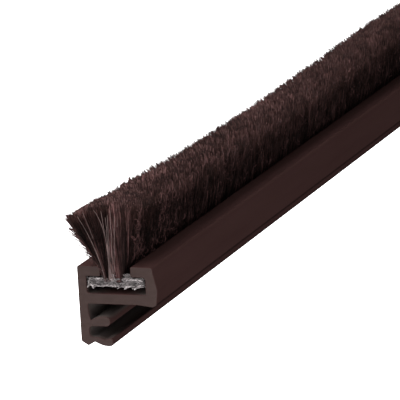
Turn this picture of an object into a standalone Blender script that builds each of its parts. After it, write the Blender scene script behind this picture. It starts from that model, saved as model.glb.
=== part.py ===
"""Brush seal strip: a pile weatherstrip held in an extruded rigid plastic carrier.

The strip lies on the flat back of its web. The cross-section is drawn in its own plane, where
"across" runs from the web's back towards the side wall and "up" runs from the foot towards the pile.
In the world, across is +Z, up is -X, and the length runs along Y.
"""

import math
import random

import bmesh
import bpy
from mathutils import Matrix, Vector

MM = 0.001

# Stock length
LENGTH = 1000 * MM

# Carrier: the web and the pocket that holds the backing
WEB_THICKNESS = 1.0 * MM
POCKET_WIDTH = 7.0 * MM
POCKET_DEPTH = 2.0 * MM
FLOOR_THICKNESS = 1.15 * MM
LIP_THICKNESS = 1.15 * MM
MOUTH_WIDTH = 3.6 * MM
WALL_THICKNESS = 0.86 * MM
WALL_BULGE = 0.5 * MM
BULGE_HEIGHT = 1.7 * MM
SHOULDER_STEP = 0.05 * MM
SHOULDER_HEIGHT = 0.6 * MM
HEEL_SETBACK = 0.2 * MM
HEEL_DROP = 0.22 * MM
HEEL_WIDTH = 0.45 * MM
HEEL_RUN = 1.8 * MM

# Carrier: clip groove, rib, lower groove and foot, from the pocket's floor down
CLIP_GROOVE = 1.5 * MM
GROOVE_UNDERCUT = 0.44 * MM
GROOVE_TAPER = 0.25 * MM
TAPER_HEIGHT = 1.0 * MM
RIB_THICKNESS = 1.08 * MM
RIB_REACH = 2.55 * MM
RIB_SHOULDER = 1.2 * MM
LOWER_GROOVE = 1.28 * MM
FOOT_THICKNESS = 1.0 * MM
FOOT_REACH = 2.72 * MM
FOOT_DIP = 0.3 * MM
DIP_SETBACK = 0.92 * MM
DIP_RUN = 0.8 * MM
BARB_DROP = 0.1 * MM
SOLE_WIDTH = 1.1 * MM
SOLE_NOTCH = 0.46 * MM
NOTCH_OFFSET = 0.62 * MM
TOE_WIDTH = 0.8 * MM
TOE_RISE = 0.5 * MM

# Carrier: corner radii
OUTER_RADIUS = 0.22 * MM
EDGE_RADIUS = 0.14 * MM
SHOULDER_RADIUS = 0.36 * MM
POCKET_RADIUS = 0.4 * MM
GROOVE_RADIUS = 0.45 * MM
BULGE_RADIUS = 0.9 * MM
SLOPE_RADIUS = 2.0 * MM

# Backing
BACKING_CLEARANCE = 0.15 * MM
BACKING_THICKNESS = 1.1 * MM
SELVEDGE_WIDTH = 0.7 * MM
SELVEDGE_RISE = 0.14 * MM
SEAT_GAP = 0.15 * MM

# Pile
PILE_LENGTH = 8.1 * MM
PILE_OFFSET = 0.25 * MM
ROW_SPACING = 1.35 * MM
ROOT_WIDTH = 0.6 * MM
ROOT_DEPTH = 0.45 * MM
ROOT_CLEARANCE = 0.15 * MM
ROW_GAP = 0.3 * MM
LIP_CLEARANCE = 0.25 * MM
FAN_OVERHANG = 2.2 * MM
FAN_BOW = 0.18 * MM
TIP_EDGE = 0.9 * MM
END_SPLAY = 3.2 * MM
TUFT_PITCH = 8.0 * MM
TUFT_RAGGEDNESS = 0.3 * MM
TUFT_SEED = 7

# Pattern and facet counts
ARC_STEP = math.radians(12)
TIP_STEPS = 3

# Places that follow from the sizes, in the section's plane
floor_top = FLOOR_THICKNESS
lip_under = floor_top + POCKET_DEPTH
lip_top = lip_under + LIP_THICKNESS
pocket_near = WEB_THICKNESS
pocket_far = pocket_near + POCKET_WIDTH
pocket_middle = (pocket_near + pocket_far) / 2
wall_outer = pocket_far + WALL_THICKNESS
rib_top = -CLIP_GROOVE
rib_bottom = rib_top - RIB_THICKNESS
foot_top = rib_bottom - LOWER_GROOVE
foot_bottom = foot_top - FOOT_THICKNESS
toe_top = foot_bottom + TOE_RISE
back_middle = (lip_top + toe_top) / 2
backing_top = lip_under - SEAT_GAP
backing_bottom = backing_top - BACKING_THICKNESS
root_bottom = backing_top - ROOT_DEPTH
row_places = {
    "pile_row_web_side": (-1, pocket_middle - PILE_OFFSET - ROW_SPACING / 2),
    "pile_row_wall_side": (1, pocket_middle - PILE_OFFSET + ROW_SPACING / 2),
}


def clear_scene():
    for old in list(bpy.data.objects):
        bpy.data.objects.remove(old, do_unlink=True)


def new_collection(name):
    collection = bpy.data.collections.new(name)
    bpy.context.scene.collection.children.link(collection)
    return collection


def plastic(name, colour, roughness):
    material = bpy.data.materials.new(name)
    material.use_nodes = True
    shader = material.node_tree.nodes["Principled BSDF"]
    shader.inputs["Base Color"].default_value = (*colour, 1)
    shader.inputs["Roughness"].default_value = roughness
    shader.inputs["Metallic"].default_value = 0
    material.diffuse_color = (*colour, 1)
    return material


def rounded(corners):
    """The outline through corners (across, up, radius), each corner replaced by its fillet's arc."""
    outline = []
    count = len(corners)
    for index, (across, up, radius) in enumerate(corners):
        corner = Vector((across, up))
        before = Vector(corners[index - 1][:2]) - corner
        after = Vector(corners[(index + 1) % count][:2]) - corner
        turn = math.pi - before.angle(after)
        reach = min(radius * math.tan(turn / 2), 0.45 * before.length, 0.45 * after.length)
        steps = max(1, math.ceil(turn / ARC_STEP))
        if radius == 0 or turn < 0.01:
            outline.append(corner)
            continue
        first = corner + before.normalized() * reach
        last = corner + after.normalized() * reach
        inward = (before.normalized() + after.normalized()).normalized()
        centre = corner + inward * (reach / math.sin(turn / 2))
        arc_start = first - centre
        swing = arc_start.angle_signed(last - centre)
        for step in range(steps + 1):
            outline.append(centre + Matrix.Rotation(-swing * step / steps, 2) @ arc_start)
    return outline


def extruded(name, outline, length, material, collection, parent):
    """A flat outline drawn as a filled 2D curve and extruded to the strip's length."""
    curve = bpy.data.curves.new(name, "CURVE")
    curve.dimensions = "2D"
    curve.fill_mode = "BOTH"
    curve.extrude = length / 2
    spline = curve.splines.new("POLY")
    spline.points.add(len(outline) - 1)
    for point, place in zip(spline.points, outline):
        point.co = (place.x, place.y, 0, 1)
    spline.use_cyclic_u = True
    curve.materials.append(material)
    made = bpy.data.objects.new(name, curve)
    collection.objects.link(made)
    made.parent = parent
    return made


def pocket_corners():
    """The C-shaped pocket, from the web's back round the lips to the side wall's heel."""
    mouth_near = pocket_middle - MOUTH_WIDTH / 2
    mouth_far = pocket_middle + MOUTH_WIDTH / 2
    bulge = wall_outer + WALL_BULGE
    chamfer = bulge - HEEL_SETBACK
    return [
        (0, lip_top, OUTER_RADIUS),
        (mouth_near, lip_top, EDGE_RADIUS),
        (mouth_near, lip_under, EDGE_RADIUS),
        (pocket_near, lip_under, EDGE_RADIUS),
        (pocket_near, floor_top, POCKET_RADIUS),
        (pocket_far, floor_top, EDGE_RADIUS),
        (pocket_far, lip_under, POCKET_RADIUS),
        (mouth_far, lip_under, EDGE_RADIUS),
        (mouth_far, lip_top, EDGE_RADIUS),
        (wall_outer, lip_top, SHOULDER_RADIUS),
        (wall_outer + SHOULDER_STEP, lip_top - SHOULDER_HEIGHT, SLOPE_RADIUS),
        (bulge, BULGE_HEIGHT, BULGE_RADIUS),
        (chamfer, 0, EDGE_RADIUS),
        (chamfer - HEEL_WIDTH, -HEEL_DROP, EDGE_RADIUS),
        (chamfer - HEEL_WIDTH - HEEL_RUN, 0, SLOPE_RADIUS),
    ]


def foot_corners():
    """The clip groove, the rib, the round-ended groove and the hooked foot, down to the web's back."""
    web = WEB_THICKNESS
    rib_tip = web + RIB_REACH
    foot_tip = web + FOOT_REACH
    dip = foot_tip - DIP_SETBACK
    notch = web + NOTCH_OFFSET
    return [
        (web, 0, EDGE_RADIUS),
        (web, rib_top - GROOVE_UNDERCUT + TAPER_HEIGHT, SLOPE_RADIUS),
        (web + GROOVE_TAPER, rib_top - GROOVE_UNDERCUT, 0),
        (web + RIB_SHOULDER, rib_top, SLOPE_RADIUS),
        (rib_tip, rib_top, RIB_THICKNESS / 2),
        (rib_tip, rib_bottom, RIB_THICKNESS / 2),
        (web, rib_bottom, GROOVE_RADIUS),
        (web, foot_top, GROOVE_RADIUS),
        (dip - DIP_RUN, foot_top, SLOPE_RADIUS),
        (dip, foot_top - FOOT_DIP, GROOVE_RADIUS),
        (foot_tip, foot_top - BARB_DROP, EDGE_RADIUS),
        (foot_tip, foot_bottom, 2 * EDGE_RADIUS),
        (foot_tip - SOLE_WIDTH, foot_bottom, SLOPE_RADIUS),
        (notch, foot_bottom + SOLE_NOTCH, EDGE_RADIUS),
        (TOE_WIDTH, foot_bottom, EDGE_RADIUS),
        (0, toe_top, OUTER_RADIUS),
    ]


def carrier_profile(collection, parent):
    brown = plastic("carrier_pvc", (0.038, 0.021, 0.019), 0.45)
    corners = pocket_corners() + foot_corners()
    return extruded("carrier_profile", rounded(corners), LENGTH, brown, collection, parent)


def channel(middle):
    """The slot in the backing's face that one row of pile is woven into, from low to high across."""
    half = ROOT_WIDTH / 2 + ROOT_CLEARANCE
    low = root_bottom - ROOT_CLEARANCE
    return [
        (middle - half, backing_top, 0),
        (middle - half, low, 0),
        (middle + half, low, 0),
        (middle + half, backing_top, 0),
    ]


def woven_backing(collection, parent):
    """The woven strip, with thicker selvedges and a channel for each row of pile."""
    white = plastic("backing_weave", (0.55, 0.5, 0.48), 0.8)
    near = pocket_near + BACKING_CLEARANCE
    far = pocket_far - BACKING_CLEARANCE
    sunk = backing_bottom + SELVEDGE_RISE
    corners = [(near, backing_top, SELVEDGE_RISE)]
    for side, root in row_places.values():
        corners += channel(root)
    corners += [
        (far, backing_top, SELVEDGE_RISE),
        (far, backing_bottom, BACKING_THICKNESS / 3),
        (far - SELVEDGE_WIDTH, backing_bottom, SELVEDGE_RISE),
        (far - SELVEDGE_WIDTH - SELVEDGE_RISE, sunk, SELVEDGE_RISE),
        (near + SELVEDGE_WIDTH + SELVEDGE_RISE, sunk, SELVEDGE_RISE),
        (near + SELVEDGE_WIDTH, backing_bottom, SELVEDGE_RISE),
        (near, backing_bottom, BACKING_THICKNESS / 3),
    ]
    return extruded("woven_backing", rounded(corners), LENGTH, white, collection, parent)


def row_section(side, root, spread, lift):
    """One row's cross-section as (across, up), for side -1 next to the web or +1 next to the wall.

    The tufts stand in the backing's channel, pass between the lips, and fan out above them with
    their tips on an arc about the root. Spread and lift are how far this clump's tips stray.
    """
    mouth = pocket_middle + side * (MOUTH_WIDTH / 2 - LIP_CLEARANCE)
    tip = pocket_middle + side * (MOUTH_WIDTH / 2 + FAN_OVERHANG + spread)
    inner = pocket_middle - PILE_OFFSET + side * ROW_GAP / 2
    reach = PILE_LENGTH + lift

    def tip_height(across):
        return root_bottom + math.sqrt(max(reach**2 - (across - root) ** 2, 0))

    shoulder = tip_height(tip) - TIP_EDGE
    outline = [
        (root - side * ROOT_WIDTH / 2, backing_top),
        (root - side * ROOT_WIDTH / 2, root_bottom),
        (root + side * ROOT_WIDTH / 2, root_bottom),
        (root + side * ROOT_WIDTH / 2, backing_top),
        (mouth, lip_top),
        ((mouth + tip) / 2 + side * FAN_BOW, (lip_top + shoulder) / 2),
        (tip, shoulder),
    ]
    for step in range(TIP_STEPS + 1):
        across = tip + (inner - tip) * step / TIP_STEPS
        outline.append((across, tip_height(across)))
    outline.append((inner, lip_top))
    return outline


def pile_row(name, side, root, collection, parent):
    """The row of pile, lofted through one section for each clump of tufts along the length."""
    brown = plastic(name + "_fibre", (0.05, 0.027, 0.024), 0.7)
    stray = random.Random(TUFT_SEED + side)
    clumps = round(LENGTH / TUFT_PITCH)
    shape = bmesh.new()
    rings = []
    for clump in range(clumps + 1):
        along = LENGTH * (clump / clumps - 0.5)
        spread = TUFT_RAGGEDNESS * stray.uniform(-1, 1)
        lift = TUFT_RAGGEDNESS * stray.uniform(-1, 1)
        drift = TUFT_RAGGEDNESS * stray.uniform(-1, 1)
        if clump in (0, clumps):
            drift = END_SPLAY if clump else -END_SPLAY
        ring = []
        for across, up in row_section(side, root, spread, lift):
            height = max(up - lip_top, 0) / PILE_LENGTH
            ring.append(shape.verts.new((across, up, along + drift * height)))
        rings.append(ring)
    for low, high in zip(rings, rings[1:]):
        for index in range(len(low)):
            shape.faces.new((low[index - 1], low[index], high[index], high[index - 1]))
    ends = [shape.faces.new(rings[0]), shape.faces.new(rings[-1])]
    bmesh.ops.recalc_face_normals(shape, faces=shape.faces)
    bmesh.ops.triangulate(shape, faces=ends)
    mesh = bpy.data.meshes.new(name)
    shape.to_mesh(mesh)
    shape.free()
    mesh.materials.append(brown)
    mesh.shade_smooth()
    mesh.set_sharp_from_angle(angle=math.radians(40))
    made = bpy.data.objects.new(name, mesh)
    collection.objects.link(made)
    made.parent = parent
    return made


def main():
    clear_scene()
    strip = new_collection("brush_seal_strip")
    section_axes = bpy.data.objects.new("section_axes", None)
    strip.objects.link(section_axes)
    across = Vector((0, 0, 1))
    up = Vector((-1, 0, 0))
    turn = Matrix((across, up, across.cross(up))).transposed().to_4x4()
    section_axes.matrix_world = turn @ Matrix.Translation((0, -back_middle, 0))
    carrier_profile(strip, section_axes)
    woven_backing(strip, section_axes)
    for name, (side, root) in row_places.items():
        pile_row(name, side, root, strip, section_axes)


main()
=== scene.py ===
"""The looks of a brush seal strip: its extruded carrier, woven backing and fibre pile.

The strip lies on the flat back of its web. Shapes are worked out in its cross-section, as
"across" (from the web's back to the side wall), "up" (from the foot to the pile) and "along"
(from the cut end in the picture to the far one), and placed() turns them into the frame's axes.
"""

import math
from dataclasses import dataclass

import bmesh
import bpy
import numpy as np
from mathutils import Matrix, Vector


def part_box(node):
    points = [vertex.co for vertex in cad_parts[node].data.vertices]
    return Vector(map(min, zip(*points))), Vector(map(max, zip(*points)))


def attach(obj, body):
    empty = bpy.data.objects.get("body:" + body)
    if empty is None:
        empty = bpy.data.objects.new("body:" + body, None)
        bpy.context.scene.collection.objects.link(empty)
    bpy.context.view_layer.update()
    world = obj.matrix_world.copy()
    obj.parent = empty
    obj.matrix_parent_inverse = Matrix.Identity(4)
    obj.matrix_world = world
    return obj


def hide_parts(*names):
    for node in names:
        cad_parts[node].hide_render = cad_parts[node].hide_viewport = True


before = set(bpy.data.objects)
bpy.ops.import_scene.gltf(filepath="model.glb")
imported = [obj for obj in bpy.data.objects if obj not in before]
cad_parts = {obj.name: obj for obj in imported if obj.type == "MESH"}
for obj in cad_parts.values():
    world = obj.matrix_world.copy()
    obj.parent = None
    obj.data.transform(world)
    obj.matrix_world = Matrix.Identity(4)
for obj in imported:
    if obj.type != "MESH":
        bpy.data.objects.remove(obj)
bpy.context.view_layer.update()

MM = 0.001

# Seeds of the random values, and how far the two rows' seeds stand from the first one
SEED = 41
SPLAYED_SEED = SEED + 3
WILD_SEED = SEED + 5
ROW_SEED_STEP = 7
CORE_SEED_STEP = 9

# The frame's own measures, in the section's terms
carrier_low, carrier_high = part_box("carrier_profile")
backing_low, backing_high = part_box("woven_backing")
web_row_low, web_row_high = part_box("pile_row_web_side")
wall_row_low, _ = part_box("pile_row_wall_side")
LENGTH = carrier_high.y - carrier_low.y
NEAR_END = carrier_low.y
LIP_TOP = -carrier_low.x
BACKING_TOP = -backing_low.x
BACKING_BOTTOM = -backing_high.x
BACKING_NEAR = backing_low.z
BACKING_FAR = backing_high.z
POCKET_MIDDLE = (BACKING_NEAR + BACKING_FAR) / 2
ROOT_UP = -web_row_high.x
TIP_UP = -min(web_row_low.x, wall_row_low.x)


def placed(across, up, along):
    """Points of the strip, given in the section's terms, in the frame's axes."""
    across, up, along = np.broadcast_arrays(across, up, along)
    return np.stack([-up, along + NEAR_END, across], axis=-1)


# Materials

# Colours in linear red, green and blue
PLASTIC = (0.042, 0.021, 0.0196)
PLASTIC_MOTTLE = (0.048, 0.0245, 0.023)
# Dust, together with a painted shade tint, for the carrier's hollows
DUST_AND_SHADE_GREY = (0.085, 0.073, 0.068)
# A painted shadow line along the lowest edge of the side wall
PAINTED_SHADOW_LINE = (0.012, 0.007, 0.0065)
SAWN = (0.030, 0.0182, 0.0162)
SAWN_SMEAR = (0.035, 0.0218, 0.0198)
FIBRE_DARK = (0.008, 0.0048, 0.0044)
# Painted light at the fibre tips, where light comes through them
PAINTED_TIP_LIGHT = (0.085, 0.038, 0.031)
FIBRE_PALEST = (0.265, 0.135, 0.13)
PALE_FIBRE_PALEST = (0.3, 0.215, 0.205)
# The core's colours are painted shade between the fibres
CORE_DARK = (0.006, 0.0036, 0.0033)
CORE_PALE = (0.062, 0.032, 0.029)
THREAD_DARK = (0.1, 0.085, 0.085)
THREAD_PALE = (0.52, 0.47, 0.47)
THREAD_SOIL = (0.06, 0.05, 0.05)
CARD = (0.93, 0.93, 0.93)
CARD_GRAIN = (0.96, 0.96, 0.96)

# How fine each pattern is, in noise cells a metre
DIE_LINES = 9000
MOTTLE = 420
SAW_MARKS = 14000
SMEAR = 1800
PILE_PATCHES = 480
CORE_STREAKS = 5000
THREAD_TWIST = 9000
THREAD_SOILING = 1300
GRAIN = 30

# The values that most of a noise lies between, and a whole share
NOISE_RANGE = (0.3, 0.7)
WHOLE = (0, 1)

# How far the occlusion reaches that greys the carrier's hollows with dust and a painted shade tint, and
# how far up its wall a painted shadow line reaches
GROOVE_DEPTH = 3 * MM
SHADOW_LINE_HEIGHT = 0.5 * MM

FLOOR_GLOW = 2.5


def new_material(name):
    material = bpy.data.materials.new(name)
    material.use_nodes = True
    tree = material.node_tree
    return material, tree, tree.nodes["Principled BSDF"]


def add_node(tree, kind, inputs=None, **settings):
    node = tree.nodes.new(kind)
    for key, value in settings.items():
        setattr(node, key, value)
    for key, value in (inputs or {}).items():
        if isinstance(value, bpy.types.NodeSocket):
            tree.links.new(value, node.inputs[key])
        else:
            node.inputs[key].default_value = value
    return node


def noise(tree, cells, factors=(1, 1, 1), detail=3.0):
    """A noise of so many cells a metre, drawn out along an axis whose factor is under 1."""
    place = add_node(tree, "ShaderNodeTexCoord").outputs["Object"]
    mapping = add_node(tree, "ShaderNodeMapping", {"Vector": place, "Scale": factors})
    inputs = {"Vector": mapping.outputs["Vector"], "Scale": cells, "Detail": detail}
    return add_node(tree, "ShaderNodeTexNoise", inputs).outputs["Fac"]


def attribute(tree, name):
    return add_node(tree, "ShaderNodeAttribute", attribute_name=name).outputs["Fac"]


def blend_colours(tree, factor, low, high):
    mix = add_node(tree, "ShaderNodeMix", {"Factor": factor}, data_type="RGBA")
    for socket, colour in (("A_Color", low), ("B_Color", high)):
        entry = next(s for s in mix.inputs if s.identifier == socket)
        if isinstance(colour, bpy.types.NodeSocket):
            tree.links.new(colour, entry)
        else:
            entry.default_value = (*colour, 1)
    return next(s for s in mix.outputs if s.identifier == "Result_Color")


def ranged(tree, value, source, target):
    """A value brought from the source range to the target range, and kept within it."""
    inputs = {
        "Value": value,
        "From Min": source[0],
        "From Max": source[1],
        "To Min": target[0],
        "To Max": target[1],
    }
    return add_node(tree, "ShaderNodeMapRange", inputs).outputs["Result"]


def surface(tree, shader, colour, roughness, specular):
    tree.links.new(colour, shader.inputs["Base Color"])
    tree.links.new(roughness, shader.inputs["Roughness"])
    shader.inputs["Specular IOR Level"].default_value = specular


def bumped(tree, shader, height, strength, distance):
    bump = add_node(
        tree, "ShaderNodeBump", {"Height": height, "Strength": strength, "Distance": distance}
    )
    tree.links.new(bump.outputs["Normal"], shader.inputs["Normal"])


def unshadowed_share(tree, wall_bottom):
    """0 on the lowest edge of the side wall, where a shadow line is painted, and 1 on the rest of the
    carrier.
    """
    place = add_node(tree, "ShaderNodeTexCoord").outputs["Object"]
    axes = add_node(tree, "ShaderNodeSeparateXYZ", {"Vector": place}).outputs
    shadow_line_top = -wall_bottom - SHADOW_LINE_HEIGHT
    above_edge = ranged(tree, axes["X"], (shadow_line_top + SHADOW_LINE_HEIGHT / 2, shadow_line_top), WHOLE)
    inside = ranged(tree, axes["Z"], (POCKET_MIDDLE, BACKING_FAR), (1, 0))
    return add_node(
        tree, "ShaderNodeMath", {0: above_edge, 1: inside}, operation="MAXIMUM"
    ).outputs[0]


def carrier_material(wall_bottom):
    """Brown extruded plastic with faint die lines, greyed in its grooves by dust and a painted shade
    tint, and with a painted shadow line at the wall's foot.
    """
    material, tree, shader = new_material("carrier_plastic")
    lines = noise(tree, DIE_LINES, (1, 0.004, 1))
    mottle = ranged(tree, noise(tree, MOTTLE, (1, 0.1, 1)), NOISE_RANGE, WHOLE)
    colour = blend_colours(tree, mottle, PLASTIC, PLASTIC_MOTTLE)
    # Occlusion paints the hollows a paler grey: dust, and a tint that stands in for the look of their
    # shade
    open_share = add_node(
        tree, "ShaderNodeAmbientOcclusion", {"Distance": GROOVE_DEPTH}, samples=8, only_local=True
    ).outputs["AO"]
    clear_of_dust_and_shade = ranged(tree, open_share, (0.3, 0.8), WHOLE)
    colour = blend_colours(tree, clear_of_dust_and_shade, DUST_AND_SHADE_GREY, colour)
    # A painted shadow line along the lowest edge of the side wall
    colour = blend_colours(tree, unshadowed_share(tree, wall_bottom), PAINTED_SHADOW_LINE, colour)
    surface(tree, shader, colour, ranged(tree, lines, NOISE_RANGE, (0.38, 0.5)), specular=0.0)
    bumped(tree, shader, lines, strength=0.1, distance=0.03 * MM)
    return material


def cut_material():
    """The sawn end of the carrier: paler and matt, with fine saw marks across it."""
    material, tree, shader = new_material("carrier_cut_end")
    marks = noise(tree, SAW_MARKS, (1, 1, 0.06), detail=2.0)
    smear = ranged(tree, noise(tree, SMEAR, (1, 1, 0.4)), (0.35, 0.65), WHOLE)
    colour = blend_colours(tree, smear, SAWN, SAWN_SMEAR)
    surface(tree, shader, colour, ranged(tree, marks, NOISE_RANGE, (0.55, 0.75)), specular=0.08)
    bumped(tree, shader, marks, strength=0.3, distance=0.02 * MM)
    return material


def fibre_material(name, palest):
    """Pile whose fibres each have their own tone, from near black to the palest colour, with painted
    light and shade in those tones and painted light at the tips.
    """
    material, tree, shader = new_material(name)
    tone = attribute(tree, "tone")
    toned = blend_colours(tree, tone, FIBRE_DARK, palest)
    # Painted light on the last quarter of each fibre, towards its tip
    tip_light_share = ranged(tree, attribute(tree, "height"), (0.75, 1.0), (0.0, 0.22))
    tipped = blend_colours(tree, tip_light_share, toned, PAINTED_TIP_LIGHT)
    patches = ranged(tree, noise(tree, PILE_PATCHES), (0.36, 0.56), (0.6, 0.0))
    colour = blend_colours(tree, patches, tipped, FIBRE_DARK)
    surface(tree, shader, colour, ranged(tree, tone, WHOLE, (0.6, 0.42)), specular=0.03)
    return material


def core_material():
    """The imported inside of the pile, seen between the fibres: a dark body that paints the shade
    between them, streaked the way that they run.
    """
    material, tree, shader = new_material("pile_shadow")
    streaks = noise(tree, CORE_STREAKS, (0.1, 1, 1))
    colour = blend_colours(tree, ranged(tree, streaks, (0.4, 0.66), WHOLE), CORE_DARK, CORE_PALE)
    surface(tree, shader, colour, ranged(tree, streaks, NOISE_RANGE, (0.8, 0.95)), specular=0.02)
    bumped(tree, shader, streaks, strength=0.8, distance=0.3 * MM)
    return material


def thread_material():
    """Pale polypropylene thread with a slight sheen and faint twist lines."""
    material, tree, shader = new_material("backing_thread")
    twist = noise(tree, THREAD_TWIST, (1, 0.4, 1))
    toned = blend_colours(tree, attribute(tree, "tone"), THREAD_DARK, THREAD_PALE)
    soiling = ranged(tree, noise(tree, THREAD_SOILING, detail=2.0), (0.4, 0.6), (0.85, 0.0))
    colour = blend_colours(tree, soiling, toned, THREAD_SOIL)
    surface(tree, shader, colour, ranged(tree, twist, NOISE_RANGE, (0.4, 0.6)), specular=0.5)
    bumped(tree, shader, twist, strength=0.4, distance=0.04 * MM)
    return material


def floor_material():
    """White card, lit from below as a photographer's table is, so that it takes hardly any shadow."""
    material, tree, shader = new_material("studio_floor")
    colour = blend_colours(tree, noise(tree, GRAIN), CARD, CARD_GRAIN)
    tree.links.new(colour, shader.inputs["Base Color"])
    tree.links.new(colour, shader.inputs["Emission Color"])
    shader.inputs["Emission Strength"].default_value = FLOOR_GLOW
    shader.inputs["Roughness"].default_value = 0.9
    shader.inputs["Specular IOR Level"].default_value = 0.1
    return material


# Mesh building

# A fibre that runs nearer to the strip's length than this is framed from the vertical instead
ALONG_STRIP = 0.8


def mesh_object(name, points, faces, materials):
    """An object from arrays: points (n, 3) and faces, a list of (m, k) arrays of vertex indices."""
    mesh = bpy.data.meshes.new(name)
    mesh.vertices.add(len(points))
    mesh.vertices.foreach_set("co", np.ascontiguousarray(points, np.float32).ravel())
    loops = np.concatenate([f.ravel() for f in faces]).astype(np.int32)
    sizes = np.concatenate([np.full(len(f), f.shape[1]) for f in faces])
    starts = np.concatenate([[0], np.cumsum(sizes)[:-1]])
    mesh.loops.add(len(loops))
    mesh.loops.foreach_set("vertex_index", loops)
    mesh.polygons.add(len(sizes))
    mesh.polygons.foreach_set("loop_start", starts.astype(np.int32))
    for material in materials:
        mesh.materials.append(material)
    mesh.update(calc_edges=True)
    mesh.shade_smooth()
    made = bpy.data.objects.new(name, mesh)
    bpy.context.scene.collection.objects.link(made)
    return made


def joined_rings(rings, count):
    """Quads between each ring of count vertices and the next one."""
    here = np.arange(count)
    after = (here + 1) % count
    low = count * np.arange(rings - 1)[:, None]
    high = low + count
    return np.stack([low + here, low + after, high + after, high + here], axis=-1).reshape(-1, 4)


def cross_axes(spines):
    """At each point of each spine, two directions square to the spine and to each other."""
    tangents = np.gradient(spines, axis=1)
    tangents /= np.linalg.norm(tangents, axis=2, keepdims=True)
    guide = np.where(np.abs(tangents[..., 1:2]) > ALONG_STRIP, (0.0, 0.0, 1.0), (0.0, 1.0, 0.0))
    side = np.cross(tangents, guide)
    side /= np.linalg.norm(side, axis=2, keepdims=True)
    return side, np.cross(tangents, side)


def tube_faces(rings, sides, tapered):
    """One tube's faces: its sides, its flat first end, and its pointed or flat last end."""
    here = np.arange(sides)
    last = (rings - 1) * sides
    faces = [joined_rings(rings, sides), here[None, ::-1]]
    if tapered:
        after = (here + 1) % sides
        tip = np.full(sides, rings * sides)
        faces.append(np.stack([last + here, last + after, tip], axis=1))
    else:
        faces.append(last + here[None, :])
    return faces


def point_attribute(piece, label, values):
    layer = piece.data.attributes.new(label, "FLOAT", "POINT")
    layer.data.foreach_set("value", np.ascontiguousarray(values.ravel(), np.float32))


def fibre_object(name, spines, radii, tones, material, sides=3, tapered=True):
    """Closed tubes along spines (n, k, 3), with radii (n, k) and tones (n,) or (n, k).

    A tapered fibre ends in a point, and any other in a flat cap.
    """
    count, stations = spines.shape[:2]
    rings = stations - 1 if tapered else stations
    side, other = (axis[:, :rings, None] for axis in cross_axes(spines))
    turn = (2 * math.pi * np.arange(sides) / sides)[:, None]
    offset = side * np.cos(turn) + other * np.sin(turn)
    ring_points = spines[:, :rings, None] + offset * radii[:, :rings, None, None]
    points = ring_points.reshape(count, rings * sides, 3)
    station = np.repeat(np.arange(rings), sides)
    if tapered:
        points = np.concatenate([points, spines[:, -1:]], axis=1)
        station = np.append(station, rings)
    each = points.shape[1]
    start = each * np.arange(count)[:, None, None]
    faces = [(f + start).reshape(-1, f.shape[1]) for f in tube_faces(rings, sides, tapered)]
    made = mesh_object(name, points.reshape(-1, 3), faces, [material])
    shades = np.broadcast_to(tones.reshape(count, -1), (count, stations))
    point_attribute(made, "tone", shades[:, station])
    point_attribute(made, "height", np.broadcast_to(station / (stations - 1), (count, each)))
    return made


def dress(piece, slot, *nodes):
    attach(piece, "root")
    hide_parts(*nodes)


# Carrier

CUT_BEVEL = 0.03 * MM
SMOOTH_ANGLE = math.radians(32)

# How near two corners are one, how near a face is to the cut end's plane, and how far a sharp
# corner may run out where the outline is moved inwards
WELD = 1e-7
END_PLANE = 0.03 * MM
MITRE_LIMIT = 0.5


def loop_round(edges):
    """The vertices of a closed ring of edges, in order round it."""
    follow = {}
    for edge in edges:
        for vert in edge.verts:
            follow.setdefault(vert, []).append(edge.other_vert(vert))
    start = edges[0].verts[0]
    loop, before, here = [start], None, start
    while True:
        step = next(v for v in follow[here] if v is not before)
        if step is start:
            return loop
        loop.append(step)
        before, here = here, step


def end_outline(node):
    """The node's cut end as a closed loop of (across, up), read from its mesh."""
    shape = bmesh.new()
    shape.from_mesh(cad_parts[node].data)
    bmesh.ops.remove_doubles(shape, verts=shape.verts, dist=WELD)
    end = min(v.co.y for v in shape.verts)
    cap = {f for f in shape.faces if all(v.co.y < end + END_PLANE for v in f.verts)}
    rim = [e for e in shape.edges if sum(f in cap for f in e.link_faces) == 1]
    outline = np.array([(v.co.z, -v.co.x) for v in loop_round(rim)])
    shape.free()
    across, up = outline.T
    turning = np.sum(across * np.roll(up, -1) - np.roll(across, -1) * up)
    return outline if turning > 0 else outline[::-1]


def inset(outline, depth):
    """The outline moved inwards by depth, square to each of its sides."""
    ahead = np.roll(outline, -1, axis=0) - outline
    normal = np.stack([-ahead[:, 1], ahead[:, 0]], axis=1)
    normal /= np.linalg.norm(normal, axis=1, keepdims=True)
    shift = normal + np.roll(normal, 1, axis=0)
    shift /= np.maximum(np.sum(shift * normal, axis=1, keepdims=True), MITRE_LIMIT)
    return outline + shift * depth


def cap_ends(piece, count):
    """Close a swept shape's first and last rings of count vertices, with faces in slot 1."""
    shape = bmesh.new()
    shape.from_mesh(piece.data)
    verts = list(shape.verts)
    caps = [shape.faces.new(verts[:count][::-1]), shape.faces.new(verts[-count:])]
    for cap in caps:
        cap.material_index = 1
        cap.normal_update()
    bmesh.ops.triangulate(shape, faces=caps)
    bmesh.ops.recalc_face_normals(shape, faces=shape.faces)
    shape.to_mesh(piece.data)
    shape.free()


def extrusion(name, outline, stations, materials):
    """The outline swept through stations (along, inset depth), with its two ends capped."""
    rings = [placed(*inset(outline, depth).T, along) for along, depth in stations]
    count = len(outline)
    made = mesh_object(name, np.concatenate(rings), [joined_rings(len(rings), count)], materials)
    cap_ends(made, count)
    made.data.shade_smooth()
    made.data.set_sharp_from_angle(angle=SMOOTH_ANGLE)
    return made


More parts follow.
